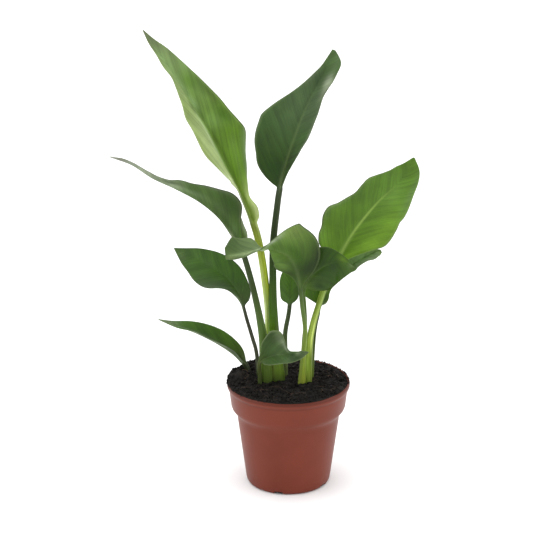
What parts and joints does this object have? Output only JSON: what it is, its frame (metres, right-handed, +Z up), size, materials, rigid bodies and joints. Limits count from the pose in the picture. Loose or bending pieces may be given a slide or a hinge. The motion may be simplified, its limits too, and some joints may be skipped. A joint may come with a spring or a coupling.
{
  "type": "potted bird of paradise",
  "caption": "Young bird of paradise plant with paddle-shaped leaves on long stalks, growing from soil in a plastic nursery pot with a stepped collar.",
  "frame": {"origin": "on the pot's axis, in the plane that the pot stands on", "axes": "+Z up along the pot's axis; +X towards the bright right-hand leaf, so the plant's broad side faces -Y"},
  "size_m": [0.2954, 0.122, 0.4476],
  "materials": {
    "pot_plastic": "satin",
    "potting_soil": "matte",
    "leaf_young": "satin",
    "leaf_mid": "satin",
    "leaf_dark": "satin"
  },
  "bodies": {
    "root": {"pot": "pot_plastic", "soil": "potting_soil", "leaf_tall_new": "leaf_young", "leaf_upper_right": "leaf_dark", "leaf_left_arching": "leaf_dark", "leaf_left_middle": "leaf_dark", "leaf_left_low": "leaf_dark", "leaf_front_small": "leaf_dark", "leaf_right_bright": "leaf_young", "leaf_front_twisted": "leaf_mid", "leaf_right_front": "leaf_mid", "leaf_right_back": "leaf_mid", "leaf_small_back": "leaf_dark"}
  },
  "joints": []
}
